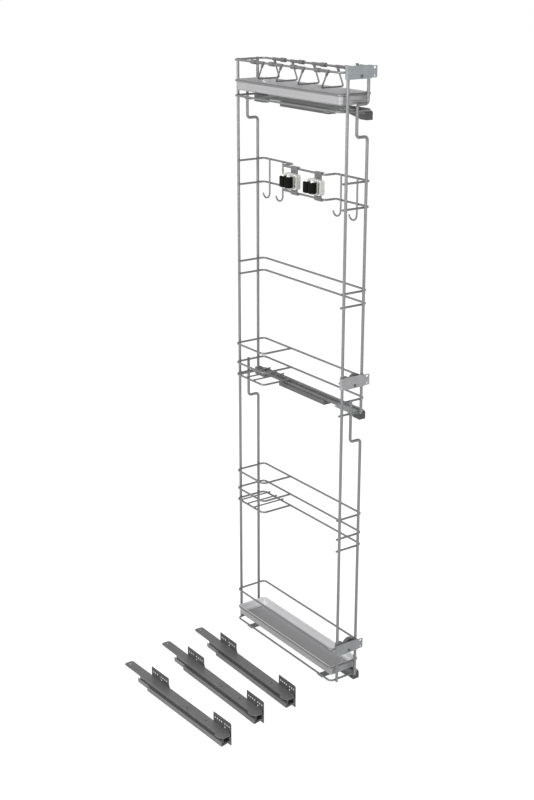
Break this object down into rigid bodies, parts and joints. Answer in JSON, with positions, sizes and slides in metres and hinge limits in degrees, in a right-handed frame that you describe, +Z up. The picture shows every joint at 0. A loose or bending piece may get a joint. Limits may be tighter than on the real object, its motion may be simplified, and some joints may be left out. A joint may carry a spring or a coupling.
{
  "type": "pull out larder unit",
  "caption": "Tall narrow pull-out wire frame with baskets, shelves, hook rails, tool grips, sliding dividers and door plates, with the full-extension runners it rides on.",
  "frame": {"origin": "on the underside of the bottom carrier's damper housing, below the middle of the frame's depth; this is the lowest face of the standing unit", "axes": "+Z up along the uprights, -Y towards the door, +X towards the side wall that carries the runners; the open side faces -X"},
  "size_m": [0.555, 0.5892, 1.7485],
  "materials": {
    "wire_coating": "satin silver-grey powder coat",
    "tray_metal": "satin light grey coated sheet",
    "zinc_plate": "zinc plated, dull",
    "carrier_steel": "satin dark grey",
    "runner_steel": "satin dark grey",
    "grey_plastic": "matte",
    "dark_plastic": "matte",
    "white_plastic": "satin",
    "black_rubber": "matte",
    "screw_steel": "plain"
  },
  "bodies": {
    "frame": {"near_uprights": "wire_coating", "far_uprights_upper": "wire_coating", "far_uprights_lower": "wire_coating", "top_guard_ring": "wire_coating", "top_tray_ring": "wire_coating", "top_floor_ring": "wire_coating", "hook_rails": "wire_coating", "cloth_hooks": "wire_coating", "side_rails": "wire_coating", "middle_shelf_wires": "wire_coating", "lower_shelf_wires": "wire_coating", "shelf_floor_wires": "wire_coating", "base_guard_ring": "wire_coating", "base_tray_ring": "wire_coating", "base_floor_ring": "wire_coating", "top_tray": "tray_metal", "bottom_tray": "tray_metal", "grip_plates": "zinc_plate", "grip_bodies": "white_plastic", "door_clamps": "dark_plastic", "door_screws": "screw_steel", "carrier_rails": "carrier_steel", "carrier_plates": "zinc_plate", "damper_housings": "dark_plastic", "dampers": "screw_steel", "front_blocks": "grey_plastic", "rear_catches": "dark_plastic", "runner_fixed_1": "runner_steel", "runner_fixed_2": "runner_steel", "runner_fixed_3": "runner_steel"},
    "divider_1": {"divider_wire_1": "wire_coating", "divider_clips_1": "grey_plastic"},
    "divider_2": {"divider_wire_2": "wire_coating", "divider_clips_2": "grey_plastic"},
    "divider_3": {"divider_wire_3": "wire_coating", "divider_clips_3": "grey_plastic"},
    "divider_4": {"divider_wire_4": "wire_coating", "divider_clips_4": "grey_plastic"},
    "arm_1": {"grip_arm_1": "white_plastic"},
    "roller_1": {"grip_roller_1": "black_rubber"},
    "arm_2": {"grip_arm_2": "white_plastic"},
    "roller_2": {"grip_roller_2": "black_rubber"},
    "arm_3": {"grip_arm_3": "white_plastic"},
    "roller_3": {"grip_roller_3": "black_rubber"},
    "arm_4": {"grip_arm_4": "white_plastic"},
    "roller_4": {"grip_roller_4": "black_rubber"},
    "door_top": {"door_plate_top": "zinc_plate"},
    "door_middle": {"door_plate_middle": "zinc_plate"},
    "door_bottom": {"door_plate_bottom": "zinc_plate"},
    "knob": {"lock_knob": "screw_steel"},
    "runner_1_middle": {"runner_middle_1": "runner_steel", "runner_balls_1": "screw_steel"},
    "runner_1_top": {"runner_top_1": "runner_steel"},
    "runner_2_middle": {"runner_middle_2": "runner_steel", "runner_balls_2": "screw_steel"},
    "runner_2_top": {"runner_top_2": "runner_steel"},
    "runner_3_middle": {"runner_middle_3": "runner_steel", "runner_balls_3": "screw_steel"},
    "runner_3_top": {"runner_top_3": "runner_steel"}
  },
  "joints": [
    {"name": "divider_1_slide", "type": "slide", "parent": "frame", "child": "divider_1", "axis": [0, 1, 0], "range_m": [-0.028, 0.02]},
    {"name": "divider_2_slide", "type": "slide", "parent": "frame", "child": "divider_2", "axis": [0, 1, 0], "range_m": [-0.02, 0.018]},
    {"name": "divider_3_slide", "type": "slide", "parent": "frame", "child": "divider_3", "axis": [0, 1, 0], "range_m": [-0.018, 0.012]},
    {"name": "divider_4_slide", "type": "slide", "parent": "frame", "child": "divider_4", "axis": [0, 1, 0], "range_m": [-0.012, 0.028]},
    {"name": "arm_1_swing", "type": "hinge", "parent": "frame", "child": "arm_1", "pos_m": [-0.052, -0.083, 1.4183], "axis": [0, 0, 1], "range_deg": [0, 30], "stiffness_Nm_per_rad": 0.4},
    {"name": "roller_1_spin", "type": "hinge", "parent": "arm_1", "child": "roller_1", "pos_m": [-0.068, -0.08275, 1.4183], "axis": [0, 0, 1], "continuous": true},
    {"name": "arm_2_swing", "type": "hinge", "parent": "frame", "child": "arm_2", "pos_m": [-0.052, -0.059, 1.4183], "axis": [0, 0, -1], "range_deg": [0, 30], "stiffness_Nm_per_rad": 0.4},
    {"name": "roller_2_spin", "type": "hinge", "parent": "arm_2", "child": "roller_2", "pos_m": [-0.068, -0.05925, 1.4183], "axis": [0, 0, 1], "continuous": true},
    {"name": "arm_3_swing", "type": "hinge", "parent": "frame", "child": "arm_3", "pos_m": [-0.052, 0.023, 1.4183], "axis": [0, 0, 1], "range_deg": [0, 30], "stiffness_Nm_per_rad": 0.4},
    {"name": "roller_3_spin", "type": "hinge", "parent": "arm_3", "child": "roller_3", "pos_m": [-0.068, 0.02325, 1.4183], "axis": [0, 0, 1], "continuous": true},
    {"name": "arm_4_swing", "type": "hinge", "parent": "frame", "child": "arm_4", "pos_m": [-0.052, 0.047, 1.4183], "axis": [0, 0, -1], "range_deg": [0, 30], "stiffness_Nm_per_rad": 0.4},
    {"name": "roller_4_spin", "type": "hinge", "parent": "arm_4", "child": "roller_4", "pos_m": [-0.068, 0.04675, 1.4183], "axis": [0, 0, 1], "continuous": true},
    {"name": "door_top_adjust", "type": "slide", "parent": "frame", "child": "door_top", "axis": [0, 0, 1], "range_m": [-0.002, 0.002]},
    {"name": "door_middle_adjust", "type": "slide", "parent": "frame", "child": "door_middle", "axis": [0, 0, 1], "range_m": [-0.002, 0.002]},
    {"name": "door_bottom_adjust", "type": "slide", "parent": "frame", "child": "door_bottom", "axis": [0, 0, 1], "range_m": [-0.002, 0.002]},
    {"name": "knob_turn", "type": "hinge", "parent": "frame", "child": "knob", "pos_m": [-0.0533, -0.2411, 1.7481], "axis": [0, 0, 1], "range_deg": [-360, 360]},
    {"name": "runner_1_extend", "type": "slide", "parent": "frame", "child": "runner_1_middle", "axis": [0.0497, -0.9988, 0], "range_m": [0, 0.225]},
    {"name": "runner_1_top_extend", "type": "slide", "parent": "runner_1_middle", "child": "runner_1_top", "axis": [0.0497, -0.9988, 0], "range_m": [0, 0.225]},
    {"name": "runner_2_extend", "type": "slide", "parent": "frame", "child": "runner_2_middle", "axis": [0.0157, -0.9999, 0], "range_m": [0, 0.225]},
    {"name": "runner_2_top_extend", "type": "slide", "parent": "runner_2_middle", "child": "runner_2_top", "axis": [0.0157, -0.9999, 0], "range_m": [0, 0.225]},
    {"name": "runner_3_extend", "type": "slide", "parent": "frame", "child": "runner_3_middle", "axis": [0, -1, 0], "range_m": [0, 0.225]},
    {"name": "runner_3_top_extend", "type": "slide", "parent": "runner_3_middle", "child": "runner_3_top", "axis": [0, -1, 0], "range_m": [0, 0.225]}
  ],
  "couplings": [
    {"joint": "runner_1_top_extend", "follows": "runner_1_extend", "ratio": 1},
    {"joint": "runner_2_top_extend", "follows": "runner_2_extend", "ratio": 1},
    {"joint": "runner_3_top_extend", "follows": "runner_3_extend", "ratio": 1}
  ]
}
